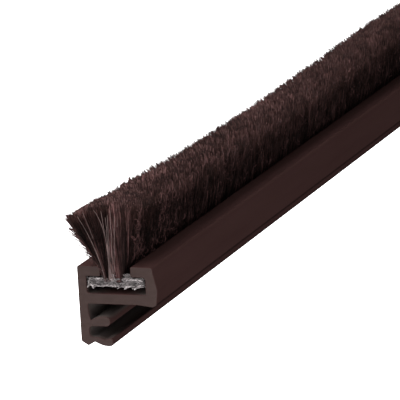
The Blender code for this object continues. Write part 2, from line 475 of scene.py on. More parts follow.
def carrier():
    outline = end_outline("carrier_profile")
    stations = [
        (0, CUT_BEVEL),
        (CUT_BEVEL, 0),
        (LENGTH - CUT_BEVEL, 0),
        (LENGTH, CUT_BEVEL),
    ]
    wall_bottom = outline[outline[:, 0] > BACKING_FAR, 1].min()
    plastic = carrier_material(wall_bottom)
    piece = extrusion("carrier", outline, stations, [plastic, cut_material()])
    dress(piece, "carrier", "carrier_profile")


# Backing

TAPE_SETBACK = 0.35 * MM
TAPE_INSET = 0.04 * MM
THREAD_SIDES = 6

# Warp: the threads along the tape, and how they come loose at the cut
WARP_PITCH = 0.46 * MM
WARP_RADIUS = 0.15 * MM
WARP_RUN = 6 * MM
WARP_STATIONS = 30
WARP_BEND = 0.3
WARP_FRAY = 0.7 * MM
LOOSE_RUN = 1.2 * MM
LOOSE_ACROSS = 0.1 * MM
LOOSE_UP = 0.04 * MM

# Weft: the threads across the tape, which wander most next to the cut
WEFT_PITCH = 0.5 * MM
WEFT_START = 0.35
WEFT_RADIUS = 0.12 * MM
WEFT_STATIONS = 48
WEFT_CORNERS = 0.45
WEFT_FLATNESS = 0.92
WEFT_RIPPLE = 0.05 * MM
WEFT_RIPPLES = 14
WEFT_WANDER = 0.05 * MM
FIRST_WANDER = 2.5

# Fray: fine filaments, some of them lifted up into clumps at these places across the tape
FRAY_COUNT = 650
FRAY_STATIONS = 7
FRAY_RADIUS = 0.026 * MM
FRAY_LENGTH = 0.85 * MM
FRAY_ROOT = 0.6 * MM
FRAY_SPREAD = 0.12 * MM
FRAY_OVERHANG = 0.05 * MM
FRAY_CLEARANCE = 0.1 * MM
FRAY_BEND = 0.45
FRAY_CURL = 0.5
CLUMPS = (4.05 * MM, 5.6 * MM, 6.0 * MM)
LIFTED_SHARE = 0.16
LIFTED_RISE = 0.7 * MM


def backing(ends, material):
    """The woven tape: a plain body along the pocket, and real threads at its two cut ends."""
    chance = np.random.default_rng(SEED)
    outline = end_outline("woven_backing")
    stations = [(TAPE_SETBACK, TAPE_INSET), (LENGTH - TAPE_SETBACK, TAPE_INSET)]
    tape = extrusion("backing_tape", outline, stations, [material, material])
    dress(tape, "backing", "woven_backing")
    for label, end, inward in ends:
        for threads in (warp_threads, weft_threads, frayed_fibres):
            dress(threads(label, end, inward, chance, material), "backing", "woven_backing")


def warp_threads(label, end, inward, chance, material):
    """Threads along the tape, over and under the weft, with loose ends past the cut."""
    columns = np.arange(BACKING_NEAR + WARP_RADIUS, BACKING_FAR - WARP_RADIUS, WARP_PITCH)
    layers = (BACKING_TOP - WARP_RADIUS, BACKING_BOTTOM + WARP_RADIUS)
    spots = np.array([(across, up, i) for up in layers for i, across in enumerate(columns)])
    column, layer, number = (part[:, None] for part in spots.T)
    count = len(spots)
    fray = chance.uniform(-0.3, 1, (count, 1)) * WARP_FRAY
    depth = np.linspace(WARP_RUN, 0, WARP_STATIONS) * (1 + fray / WARP_RUN) - fray
    wave = WARP_BEND * WARP_RADIUS * np.sin(math.pi * (number + depth / WEFT_PITCH))
    loose = np.clip(1 - depth / LOOSE_RUN, 0, 2) ** 2
    across = column + loose * chance.normal(0, LOOSE_ACROSS, (count, 1))
    up = layer + wave + loose * chance.normal(0, LOOSE_UP, (count, 1))
    spines = placed(across, up, end + inward * depth)
    taper = np.clip(1.15 - 0.5 * loose, 0.5, 1)
    radii = WARP_RADIUS * taper * chance.uniform(0.75, 1.05, (count, 1))
    tones = chance.uniform(0.25, 1, count)
    name = "backing_warp_" + label
    return fibre_object(name, spines, radii, tones, material, THREAD_SIDES, tapered=False)


def squared(wave):
    """A sine or cosine with flatter tops, so that the loop it makes has squarer corners."""
    return np.sign(wave) * np.abs(wave) ** WEFT_CORNERS


def weft_threads(label, end, inward, chance, material):
    """Threads across the tape, each turned round the selvedges in a flat loop."""
    count = int(WARP_RUN / WEFT_PITCH)
    turn = np.linspace(0, 2 * math.pi, WEFT_STATIONS, endpoint=False)
    middle = (BACKING_TOP + BACKING_BOTTOM) / 2
    half_width = (BACKING_FAR - BACKING_NEAR) / 2 - WEFT_RADIUS
    half_height = (BACKING_TOP - BACKING_BOTTOM) / 2 - WEFT_RADIUS
    across = POCKET_MIDDLE + half_width * squared(np.cos(turn))
    flat_loop = middle + half_height * squared(np.sin(turn)) * WEFT_FLATNESS
    spines, radii = [], []
    for row in range(count):
        depth = (row + WEFT_START) * WEFT_PITCH
        wander = chance.normal(0, WEFT_WANDER, WEFT_STATIONS) * (1 if row else FIRST_WANDER)
        up = flat_loop + WEFT_RIPPLE * np.sin(turn * WEFT_RIPPLES + row * math.pi)
        spines.append(placed(across, up, end + inward * (depth + wander)))
        radii.append(np.full(WEFT_STATIONS, WEFT_RADIUS) * chance.uniform(0.7, 1))
    spines, radii = np.array(spines), np.array(radii)
    tones = chance.uniform(0.3, 0.9, count)
    name = "backing_weft_" + label
    return fibre_object(name, spines, radii, tones, material, THREAD_SIDES, tapered=False)


def frayed_fibres(label, end, inward, chance, material):
    """Fine loose filaments that stand out of the cut tape."""
    count = FRAY_COUNT
    across = chance.uniform(BACKING_NEAR, BACKING_FAR, (count, 1))
    up = chance.uniform(BACKING_BOTTOM, BACKING_TOP, (count, 1))
    reach = np.linspace(0, 1, FRAY_STATIONS)
    length = FRAY_LENGTH * chance.uniform(0.4, 1, (count, 1))
    bend = chance.normal(0, FRAY_BEND, (3, count, 1))
    curl = chance.normal(0, FRAY_CURL, (2, count, 1))
    out = length * (reach - 0.5 * np.abs(bend[2]) * reach**2) - FRAY_ROOT
    aside = length * (bend[0] * reach**1.5 + curl[0] * reach**3)
    rise = length * (0.5 * bend[1] * reach**1.5 + 0.6 * curl[1] * reach**3)
    wide = np.clip(across + aside, BACKING_NEAR - FRAY_OVERHANG, BACKING_FAR + FRAY_OVERHANG)
    high = np.clip(up + rise, BACKING_BOTTOM + FRAY_CLEARANCE, BACKING_TOP + FRAY_SPREAD)
    lifted = chance.random((count, 1)) < LIFTED_SHARE
    clump = np.array(CLUMPS)[chance.integers(0, len(CLUMPS), count), None]
    lift = LIFTED_RISE * chance.random((count, 1)) * reach
    wide = np.where(lifted, clump + 0.4 * aside + 0.1 * (wide - clump), wide)
    high = np.where(lifted, BACKING_TOP - FRAY_CLEARANCE + lift + 0.3 * rise, high)
    spines = placed(wide, high, end - inward * out)
    radii = FRAY_RADIUS * chance.uniform(0.7, 1.6, (count, 1)) * (1.1 - 0.5 * reach)
    tones = chance.uniform(0.5, 1, count)
    return fibre_object("backing_fray_" + label, spines, radii, tones, material)


# Pile

# Where the two rows stand in the section, and how far they shift at a cut end
MOUTH_HALF = 1.7 * MM
PILE_OFFSET = 0.25 * MM
END_OFFSET = 0.8 * MM
LOWEST = 0.2 * MM
ROW_SPACING = 1.35 * MM
ROOT_WIDTH = 0.6 * MM
ROW_GAP = 0.05 * MM
ROWS_MIDDLE = POCKET_MIDDLE - PILE_OFFSET

# How far from a cut end its form reaches: the tips' splay along the strip, the fan's shift
# across it, the crest's rise, and the ragged crest and lively tones
FLARE_DEPTH = 2.6 * MM
END_DEPTH = 1.6 * MM
RISE_DEPTH = 5 * MM
FADE_DEPTH = 70 * MM

# The crest
PILE_LENGTH = TIP_UP - ROOT_UP - 0.17 * MM
CREST_WAVE = 0.38 * MM
CREST_WAVELENGTH = 118 * MM
END_RISE = 0.45 * MM
END_RISE_OUTER_LOSS = 0.6
SHORTFALL = 0.1 * MM
RAGGED_FAR = 0.25
RAGGED_OUTER_LOSS = 0.8
STRAY_SHARE = 0.06
STRAY_RISE = 0.07 * MM
OUTER_START = 0.35
SHORT_SHAPE = (0.8, 1.6)
SHORT_END_LOSS = 0.75
STRAY_CUT = (0.1, 0.5)

# Tufts, made of locks, and the larger clumps that the rows fall into
TUFT_PITCH = 1.15 * MM
TUFTS_ACROSS = 3
TUFT_GATHER = 0.4
LOCK_PITCH = 0.26 * MM
LOCKS_ACROSS = 7
CLUMP_PITCH = 5.5 * MM
BAND_MARGIN = 0.999

# A fibre's line: how its share of the fan, rise, bow, curl and lean come about
TIP_HOLD = 0.25
LEAST_RISE = 0.4
BOW_MEAN = 0.1
BOW_SPREAD = 0.14
CURL = 0.1 * MM
LEAN_INNER = 0.8
LEAN_GROWTH = 0.6
LEAN_AT_MOUTH = 0.15
LEAN_CURVE = 1.3
FLARE_RANGE = (0.45, 1.05)

# Tones, from 0, darkest, to 1, with painted light and shade among them
MEAN_TONE = 0.37
END_EVENNESS = 0.4
# Painted light: paler tones far along the strip
FAR_PAINTED_LIGHT = 0.05
FAR_START = 0.8
FRONT_WIDTH = 1.8
VALLEY_WIDTH = 0.5
SPECKLE = 0.1
# Painted shade on the outer side of the row by the wall
OUTER_SHADE = 0.38
# Painted shade towards the roots, which a cut end's front fibres are spared
ROOT_SHADE = 0.3
ROOT_SHADE_TOP = 0.95
ROOT_SHADE_RUN = 0.55


@dataclass
class Scatter:
    """How far a random value strays from clump to clump, tuft to tuft, lock to lock, fibre to fibre."""

    clump: float
    tuft: float
    lock: float
    fibre: float = 0.0


TIP_SCATTER = Scatter(clump=0.2 * MM, tuft=0.05 * MM, lock=0.1 * MM, fibre=0.14 * MM)
LENGTH_SCATTER = Scatter(clump=0.07 * MM, tuft=0.03 * MM, lock=0.3 * MM)
LEAN_SCATTER = Scatter(clump=0.4 * MM, tuft=0.12 * MM, lock=0.2 * MM, fibre=0.15 * MM)
TONE_SCATTER = Scatter(clump=0.08, tuft=0.16, lock=0.28, fibre=0.12)


@dataclass
class Row:
    """How one row's fibres stand, and how their tones differ at its sides and its cut ends."""

    label: str
    side: int  # -1 next to the web, 1 next to the side wall
    reach: float  # from the middle to the outer tips
    narrowing: float  # share of the reach that a cut end lacks
    shift: float  # how far a cut end's tips stand inwards
    short: float  # how much shorter an outer fibre can be, as a share
    stray: float  # share of the outer fibres that were cut much shorter
    lean: float  # how far the tips lie over along the strip
    flare: float  # how much further they do so at a cut end
    inner_flare: float  # share of the flare that an inner fibre has
    lock_gather: float  # how far the tips of a lock close up
    valley: float  # tone that a cut end's inner fibres gain: painted shade where below 0, painted light where above 0
    front: float  # tone that all of a cut end's fibres gain, as painted light, which also spares them the painted root shade
    side_shade: float  # how much darker the outer side is, as painted shade

    @property
    def node(self):
        return "pile_row_" + self.label


WEB_ROW = Row(
    label="web_side",
    side=-1,
    reach=4.15 * MM,
    narrowing=-0.06,
    shift=0.0,
    short=0.15,
    stray=0.0,
    lean=-1.7 * MM,
    flare=1.0 * MM,
    inner_flare=-1.2,
    lock_gather=0.3,
    valley=-0.34,
    front=-0.02,
    side_shade=0.0,
)
WALL_ROW = Row(
    label="wall_side",
    side=1,
    reach=3.0 * MM,
    narrowing=0.3,
    shift=1.0 * MM,
    short=0.55,
    stray=0.04,
    lean=-1.6 * MM,
    flare=-3.6 * MM,
    inner_flare=1.0,
    lock_gather=0.75,
    valley=0.1,
    front=0.5,
    side_shade=1.0,
)


@dataclass
class Weight:
    """Fine or coarse fibres. They crowd to the row's outer side where outwards is under 1."""

    radius: float
    stations: int
    outwards: float


FINE = Weight(radius=0.045 * MM, stations=4, outwards=1.0)
COARSE = Weight(radius=0.13 * MM, stations=3, outwards=0.5)
LATERAL_SHAPE = (0.9, 0.75)
FIBRE_TIP_WIDTH = 0.8
FIBRE_WIDTHS = (0.7, 1.35)

# The close stretch, which the picture shows, and the rest
CLOSE_STRETCH = 132 * MM
CLOSE_PIECES = 2
CLOSE_FIBRES = 7200
LONG_FIBRES = 5200
END_MARGIN = 0.05 * MM
END_STRETCH = 9 * MM
CLOSE_END_SHARE = 0.16
LONG_END_SHARE = 0.1


def group_chance(chance, group, spread):
    """The same random value for every fibre of a group."""
    return chance.normal(0, spread, group.max() + 1)[group]


def grouped(along, lateral, pitch, bands):
    """Each fibre's group, and the way along the strip from the fibre to its group's middle."""
    band = (lateral * bands * BAND_MARGIN).astype(int)
    shifted = along + band * pitch / bands
    number = (shifted / pitch).astype(int)
    return number * bands + band, (number + 0.5) * pitch - shifted


class Fibres:
    """Where a row's fibres stand: along the strip, and lateral, from 0 between the rows to 1 outside."""

    def __init__(self, chance, along, lateral):
        self.chance = chance
        self.along = along
        self.lateral = lateral
        self.count = len(along)
        self.from_end = np.minimum(along, LENGTH - along)
        self.at_end = np.exp(-self.from_end / END_DEPTH)
        self.tuft, self.tuft_way = grouped(along, lateral, TUFT_PITCH, TUFTS_ACROSS)
        self.lock, self.lock_way = grouped(along, lateral, LOCK_PITCH, LOCKS_ACROSS)

    def by_clump(self, scatter):
        """A random value that varies smoothly along the strip, with a new draw for every clump."""
        knots = self.chance.normal(0, scatter.clump, int(LENGTH / CLUMP_PITCH) + 3)
        place = np.clip(self.along / CLUMP_PITCH, 0, len(knots) - 2)
        low = place.astype(int)
        share = place - low
        share = share * share * (3 - 2 * share)
        return knots[low] * (1 - share) + knots[low + 1] * share

    def by_tuft(self, scatter):
        return group_chance(self.chance, self.tuft, scatter.tuft)

    def by_lock(self, scatter):
        return group_chance(self.chance, self.lock, scatter.lock)

    def singly(self, scatter):
        return self.chance.normal(0, scatter.fibre, self.count)


def crest_wave(along):
    return CREST_WAVE * np.cos(2 * math.pi * along / CREST_WAVELENGTH)


def rows_centre(fibres):
    """The line that the fibres fan out from: nearer to the web between the rows, and at a cut end."""
    offset = PILE_OFFSET + END_OFFSET * fibres.at_end
    return POCKET_MIDDLE - offset * (1 - fibres.lateral)


def mouth_places(row, fibres):
    """Where the fibres pass through the mouth between the lips."""
    opening = MOUTH_HALF * (1 - row.narrowing * fibres.at_end)
    outwards = ROW_GAP + fibres.lateral * (opening - ROW_GAP)
    return rows_centre(fibres) + row.side * outwards


def tip_places(row, fibres):
    """Where the fibres' tips stand across the strip, fanned out from the rows' middle."""
    fan = row.reach * (1 - row.narrowing * fibres.at_end) + fibres.by_clump(TIP_SCATTER)
    outwards = ROW_GAP + fibres.lateral * (fan - ROW_GAP) - row.shift * fibres.at_end
    tip = rows_centre(fibres) + row.side * outwards
    tip += fibres.by_tuft(TIP_SCATTER) + fibres.by_lock(TIP_SCATTER)
    tip += fibres.singly(TIP_SCATTER)
    return np.maximum(tip, LOWEST)


def fibre_lengths(row, fibres):
    """How long the fibres are, and the share of its whole length that each one has."""
    chance, count = fibres.chance, fibres.count
    length = PILE_LENGTH + crest_wave(fibres.along) + fibres.by_clump(LENGTH_SCATTER)
    length += fibres.by_tuft(LENGTH_SCATTER) - chance.exponential(SHORTFALL, count)
    outer = np.clip((fibres.lateral - OUTER_START) / (1 - OUTER_START), 0, 1)
    ragged = RAGGED_FAR + (1 - RAGGED_FAR) / (1 + (fibres.from_end / FADE_DEPTH) ** 4)
    length -= np.abs(ragged * fibres.by_lock(LENGTH_SCATTER)) * (1 - RAGGED_OUTER_LOSS * outer)
    rise = END_RISE * np.exp(-fibres.from_end / RISE_DEPTH)
    length += rise * (1 - END_RISE_OUTER_LOSS * fibres.lateral**2)
    length += (chance.random(count) < STRAY_SHARE) * chance.exponential(STRAY_RISE, count)
    short = row.short * outer * chance.beta(*SHORT_SHAPE, count)
    short *= 1 - SHORT_END_LOSS * np.exp(-fibres.from_end / (3 * FLARE_DEPTH))
    stray = row.stray * outer > chance.random(count)
    whole = 1 - np.where(stray, chance.uniform(*STRAY_CUT, count), short)
    return length * whole, whole


def tip_leans(row, fibres):
    """How far the tips lie over along the strip: out past its cut ends, and back between them."""
    chance, along, lateral = fibres.chance, fibres.along, fibres.lateral
    turned = 1 - 2 * np.clip((along - CLOSE_STRETCH) / (LENGTH - 2 * CLOSE_STRETCH), 0, 1)
    lean = row.lean * turned * (LEAN_INNER + LEAN_GROWTH * lateral)
    lean += fibres.by_clump(LEAN_SCATTER)
    lean += chance.uniform(0, TUFT_GATHER, fibres.tuft.max() + 1)[fibres.tuft] * fibres.tuft_way
    lean += row.lock_gather * fibres.lock_way
    lean += fibres.by_tuft(LEAN_SCATTER) + fibres.by_lock(LEAN_SCATTER)
    lean += fibres.singly(LEAN_SCATTER)
    flare = np.exp(-along / FLARE_DEPTH) - np.exp(-(LENGTH - along) / FLARE_DEPTH)
    flare *= row.inner_flare + (1 - row.inner_flare) * lateral
    return lean - row.flare * flare * chance.uniform(*FLARE_RANGE, fibres.count)


def fibre_tones(row, fibres, share):
    """Each fibre's tone at its stations: painted shade towards the root, except at a cut end, painted
    light and shade at a cut end, painted shade on the outer side and painted light far along the strip.
    """
    near, lateral = fibres.at_end, fibres.lateral
    fade = fibres.from_end / FADE_DEPTH
    tones = fibres.by_tuft(TONE_SCATTER) + fibres.by_lock(TONE_SCATTER)
    tones += fibres.singly(TONE_SCATTER)
    tones *= 1 - END_EVENNESS * near
    tones = MEAN_TONE + tones / (1 + fade**2)
    # Painted light far along the strip
    tones += FAR_PAINTED_LIGHT * np.clip(fade - FAR_START, 0, 1)
    tones += fibres.by_clump(TONE_SCATTER)
    # Painted light on a cut end's front fibres, and painted shade on the web row's inner fibres there
    # (light on the wall row's)
    painted_front_light = near * np.clip(FRONT_WIDTH * (1 - lateral), 0, 1) ** row.side_shade
    tones += near * row.valley * np.clip(1 - lateral / VALLEY_WIDTH, 0, 1) + painted_front_light * row.front
    speckle = fibres.chance.normal(0, SPECKLE, (fibres.count, len(share)))
    # Painted shade towards the root
    painted_root_shade = ROOT_SHADE * np.clip((ROOT_SHADE_TOP - share) / ROOT_SHADE_RUN, 0, 1)
    outer_half = np.clip(2 * lateral - 1, 0, 1)
    # Painted shade on the outer half of the row by the wall
    tones *= 1 - row.side_shade * OUTER_SHADE * outer_half * (1 - near)
    return np.clip(tones[:, None] + speckle, 0, 1) ** 2 * (1 - painted_root_shade * (1 - painted_front_light[:, None]))


def fibre_spines(row, chance, along, lateral, stations):
    """Spines and tones of one row's fibres, from the backing through the mouth to the fan's tips."""
    fibres = Fibres(chance, along, lateral)
    root = ROWS_MIDDLE + row.side * (ROW_SPACING / 2 + (lateral - 0.5) * ROOT_WIDTH)
    mouth = mouth_places(row, fibres)
    tip = tip_places(row, fibres)
    length, whole = fibre_lengths(row, fibres)
    tip = mouth + (tip - mouth) * (TIP_HOLD + (1 - TIP_HOLD) * whole)
    rise = np.sqrt(np.maximum(length**2 - (tip - root) ** 2, (LEAST_RISE * length) ** 2))
    lean = whole * tip_leans(row, fibres)

    share = np.linspace(0, 1, stations)
    mouth_share = (LIP_TOP - ROOT_UP) / np.mean(rise)
    up = ROOT_UP + share * rise[:, None]
    above = np.clip((share - mouth_share) / (1 - mouth_share), 0, 1)
    below = np.clip(share / mouth_share, 0, 1)
    bow = chance.normal(BOW_MEAN, BOW_SPREAD, (fibres.count, 1))
    outwards = above * (1 - bow) + bow * above**2
    across = root[:, None] + below * (mouth - root)[:, None] + outwards * (tip - mouth)[:, None]
    curl = chance.normal(0, CURL, (2, fibres.count, stations)) * np.sqrt(above) * below
    drift = LEAN_AT_MOUTH * below + (1 - LEAN_AT_MOUTH) * above**LEAN_CURVE
    across = np.maximum(across + curl[0], LOWEST)
    spines = placed(across, up, along[:, None] + lean[:, None] * drift + curl[1])
    return spines, fibre_tones(row, fibres, share)


def along_places(chance, *stretches):
    """Random places along the strip, from stretches of (start, end, number of places)."""
    return np.concatenate([chance.uniform(*stretch) for stretch in stretches])


def add_fibres(name, row, spines, radii, tones, material, tapered=False):
    made = fibre_object(name, spines, radii, tones, material, tapered=tapered)
    dress(made, "pile", row.node)


def pile_stretch(name, row, chance, along, weight, material):
    """One stretch of a row's fine or coarse fibres."""
    lateral = chance.beta(*LATERAL_SHAPE, len(along)) ** weight.outwards
    spines, tones = fibre_spines(row, chance, along, lateral, weight.stations)
    taper = np.linspace(1, FIBRE_TIP_WIDTH, weight.stations)
    radii = weight.radius * taper * chance.uniform(*FIBRE_WIDTHS, (len(along), 1))
    add_fibres(name, row, spines, radii, tones, material)


def close_stretch(row, chance, material):
    """Fine fibres over the stretch near the picture's end, with more of them at the cut end."""
    ended = int(CLOSE_FIBRES * CLOSE_END_SHARE)
    for number in range(CLOSE_PIECES):
        along = along_places(
            chance,
            (END_MARGIN, END_STRETCH, ended),
            (END_MARGIN, CLOSE_STRETCH, CLOSE_FIBRES - ended),
        )
        name = f"pile_close_{row.label}_{number + 1}"
        pile_stretch(name, row, chance, along, FINE, material)


def long_stretch(row, chance, material):
    """Coarser fibres over the rest of the strip, with more of them at the far cut end."""
    ended = int(LONG_FIBRES * LONG_END_SHARE)
    along = along_places(
        chance,
        (CLOSE_STRETCH, LENGTH - END_MARGIN, LONG_FIBRES - ended),
        (LENGTH - END_STRETCH, LENGTH - END_MARGIN, ended),
    )
    pile_stretch("pile_long_" + row.label, row, chance, along, COARSE, material)


# Strands

STRANDS = 2600
STRAND_STATIONS = 5
STRANDS_AT_END = 0.08
STRAND_FRONT = 0.6 * MM
STRAND_RADIUS = 0.06 * MM
STRAND_SHARE = 0.97
STRAND_LATERAL_SHAPE = (3, 0.6)
STRAND_TIP_WIDTH = 0.6
STRAND_FRONT_WIDTH = 0.75

# How the strands with painted highlights and the dull ones are toned, in the band at the cut end and
# beside it
FRONT_BAND = 1.2 * MM
FRONT_BRIGHT = 0.45
SIDE_BRIGHT = 0.42
FRONT_GAIN = 1.2
SIDE_GAIN = 1.7
BRIGHT_LIFT = 0.08
DULL_GAIN = 0.4


def strand_tones(row, chance, tones, lateral, in_front):
    """Some strands painted much brighter than the fibres that they lie on, as highlights, and the rest
    duller.
    """
    front_bright = FRONT_BRIGHT * (1 - row.side_shade * lateral)[:, None]
    bright = chance.random((STRANDS, 1)) < np.where(in_front, front_bright, SIDE_BRIGHT)
    gain = np.where(in_front, FRONT_GAIN, SIDE_GAIN)
    return np.where(bright, np.clip(gain * tones + BRIGHT_LIFT, 0, 1), DULL_GAIN * tones)


def pile_strands(row, chance, material):
    """Thicker fibres on the outside of a row, some painted bright as highlights and the rest dark beside
    the others.
    """
    ended = int(STRANDS * STRANDS_AT_END)
    along = along_places(
        chance,
        (0, STRAND_FRONT, ended),
        (0, CLOSE_STRETCH, STRANDS - ended),
    )
    at_side = STRANDS - ended
    lateral = np.concatenate(
        [chance.uniform(0, 1, ended), chance.beta(*STRAND_LATERAL_SHAPE, at_side)]
    )
    spines, tones = fibre_spines(row, chance, along, lateral, STRAND_STATIONS)
    spines = spines[:, :1] + STRAND_SHARE * (spines - spines[:, :1])
    in_front = (along < FRONT_BAND)[:, None]
    tones = strand_tones(row, chance, tones, lateral, in_front)
    taper = np.linspace(1, STRAND_TIP_WIDTH, STRAND_STATIONS)
    radii = STRAND_RADIUS * taper * chance.uniform(0.6, 1.2, (STRANDS, 1))
    radii = radii * np.where(in_front, STRAND_FRONT_WIDTH, 1.0)
    add_fibres("pile_strands_" + row.label, row, spines, radii, tones, material)


# Single hairs at the cut end and on the side of the pile

HAIR_TIP_WIDTH = 0.6
BRIGHT_STATIONS = 12
BRIGHT_RADIUS = 0.034 * MM
BRIGHT_FRONT = -0.25 * MM
BRIGHT_TONES = (0.75, 1.0)

# Each pale hair's root, middle and tip, as across and up, and its lean, in millimetres
BRIGHT_HAIRS = (
    ((3.85, 2.7), (3.95, 7.9), (3.02, 11.1), -1.3),
    ((3.44, 2.65), (2.92, 6.79), (1.7, 10.7), -2.8),
    ((2.78, 5.97), (2.47, 8.4), (2.04, 10.95), -2.0),
    ((5.2, 8.9), (5.12, 9.8), (5.0, 10.8), 0.6),
    ((3.95, 2.7), (4.08, 6.8), (4.05, 10.1), -0.5),
    ((4.1, 2.8), (3.95, 7.2), (3.74, 10.9), -0.9),
    ((4.2, 2.8), (4.22, 6.6), (4.35, 10.4), -0.6),
    ((4.3, 2.8), (4.5, 7.4), (4.62, 10.9), -0.4),
    ((4.12, 3.2), (4.05, 5.6), (3.95, 8.6), -0.3),
    ((4.45, 3.0), (4.78, 6.9), (5.05, 10.2), -0.3),
)

SPLAYED_HAIRS = 220
SPLAYED_STATIONS = 8
SPLAYED_DEPTH = 1.0 * MM
SPLAYED_RADIUS = 0.045 * MM
SPLAYED_LEAN = -2.6 * MM
SPLAYED_SPREAD = 0.35 * MM
SPLAYED_LEAST = 0.03
SPLAYED_OUT = (0.3, 0.75)
SPLAYED_OUT_GROWTH = 0.55
SPLAYED_LOWEST = 0.15 * MM

WILD_HAIRS = 1400
WILD_STATIONS = 6
WILD_AT_END = 0.32
WILD_START = 0.5 * MM
WILD_END_STRETCH = 14 * MM
WILD_RADIUS = 0.039 * MM
WILD_HEIGHT = 0.75
WILD_HEIGHT_SHAPE = (1.3, 1.8)
WILD_TURN = 0.9
WILD_BEND = 0.9
WILD_PROUD = 0.25 * MM
WILD_TUCK = 0.8 * MM


def bent_spines(roots, middles, tips, along, lean, stations):
    """Hairs curved from root through middle to tip, each given as (n, 2) arrays of across and up."""
    share = np.linspace(0, 1, stations)[None, :, None]
    handle = 2 * middles - (roots + tips) / 2
    line = (1 - share) ** 2 * roots[:, None] + 2 * share * (1 - share) * handle[:, None]
    line = line + share**2 * tips[:, None]
    return placed(line[..., 0], line[..., 1], along[:, None] + lean[:, None] * share[..., 0])


def bright_hairs(material):
    """Single pale hairs that lie across the front of the cut end."""
    roots, middles, tips, lean = (MM * np.array(part) for part in zip(*BRIGHT_HAIRS))
    count = len(lean)
    along = np.full(count, BRIGHT_FRONT)
    spines = bent_spines(roots, middles, tips, along, lean, BRIGHT_STATIONS)
    taper = np.linspace(1, HAIR_TIP_WIDTH, BRIGHT_STATIONS)
    radii = np.full((count, BRIGHT_STATIONS), BRIGHT_RADIUS) * taper
    tones = np.linspace(*BRIGHT_TONES, BRIGHT_STATIONS) * np.ones((count, 1))
    add_fibres("pile_bright_hairs", WEB_ROW, spines, radii, tones, material)


def splayed_hairs(material):
    """Short hairs at the cut end whose tips stand out of the outer side of the row by the web."""
    chance = np.random.default_rng(SPLAYED_SEED)
    count = SPLAYED_HAIRS
    share = SPLAYED_LEAST + (1 - SPLAYED_LEAST) * chance.beta(0.8, 1, count)
    fan = WEB_ROW.reach - MOUTH_HALF
    across = POCKET_MIDDLE - MOUTH_HALF - share * fan
    up = LIP_TOP + share * (TIP_UP - LIP_TOP)
    least, most = SPLAYED_OUT
    out = chance.uniform(least, most + SPLAYED_OUT_GROWTH * share) * MM
    tips = np.stack([np.maximum(across - out, SPLAYED_LOWEST), up], axis=1)
    middles = np.stack([across + 0.5 * share * fan, up], axis=1)
    middles[:, 1] -= 0.5 * share * (TIP_UP - LIP_TOP)
    root = ROWS_MIDDLE - ROW_SPACING / 2 - ROOT_WIDTH / 4
    roots = np.stack([np.full(count, root), np.full(count, BACKING_TOP)], axis=1)
    along = chance.uniform(0, SPLAYED_DEPTH, count)
    lean = SPLAYED_LEAN * share - chance.exponential(SPLAYED_SPREAD, count)
    spines = bent_spines(roots, middles, tips, along, lean, SPLAYED_STATIONS)
    spines[..., 2] = np.maximum(spines[..., 2], LOWEST)
    taper = SPLAYED_RADIUS * np.linspace(1, HAIR_TIP_WIDTH, SPLAYED_STATIONS)
    radii = taper * chance.uniform(0.7, 1.2, (count, 1))
    tones = chance.uniform(0.05, 0.45, count)
    add_fibres("pile_splayed_hairs", WEB_ROW, spines, radii, tones, material)


def wild_hairs(row, chance, material):
    """Curled hairs that have come out of line and lie every way on the side of the pile."""
    count = WILD_HAIRS
    ended = int(count * WILD_AT_END)
    along = along_places(
        chance,
        (WILD_START, WILD_END_STRETCH, ended),
        (WILD_END_STRETCH, CLOSE_STRETCH, count - ended),
    )
    up = LIP_TOP + PILE_LENGTH * chance.beta(*WILD_HEIGHT_SHAPE, count) * WILD_HEIGHT
    out = (up - LIP_TOP) / (TIP_UP - LIP_TOP)
    face = POCKET_MIDDLE + row.side * (MOUTH_HALF + out * (row.reach - MOUTH_HALF))
    turn = chance.normal(0, WILD_TURN, (count, 1))
    step = chance.uniform(0.7, 1.9, (count, 1)) * MM / WILD_STATIONS
    share = np.linspace(-0.5, 0.5, WILD_STATIONS)
    angle = turn + chance.normal(0, WILD_BEND, (count, 1)) * share
    rise = np.cumsum(np.cos(angle) * step, axis=1)
    run = np.cumsum(np.sin(angle) * step, axis=1)
    across = face[:, None] + row.side * (WILD_PROUD - WILD_TUCK * share**2)
    spines = placed(across, up[:, None] + rise, along[:, None] + run)
    radii = WILD_RADIUS * np.ones(WILD_STATIONS) * chance.uniform(0.6, 1.0, (count, 1))
    tones = chance.uniform(0.1, 0.82, count) ** 1.5
    add_fibres("pile_wild_hairs_" + row.label, row, spines, radii, tones, material, tapered=True)


# Core

# Its stations along the strip, and its section as shares of the pile's
CORE_SETBACK = 2.5 * MM
CORE_PLAIN_STEPS = 13
CORE_RIDGES = 350
CORE_RIDGE_DEPTH = 0.3 * MM
CORE_CHANGE = 20 * MM
CORE_HEIGHT = 0.72
CORE_HEIGHT_GAIN = 0.16
CORE_REACH = 0.55
CORE_REACH_GAIN = 0.25
CORE_ROOT = 0.4
CORE_MOUTH = 0.75
CORE_SHOULDER = 0.88
CORE_CREST = 0.8
CORE_CROWN = 0.2 * MM
CORE_GAP = 0.02 * MM


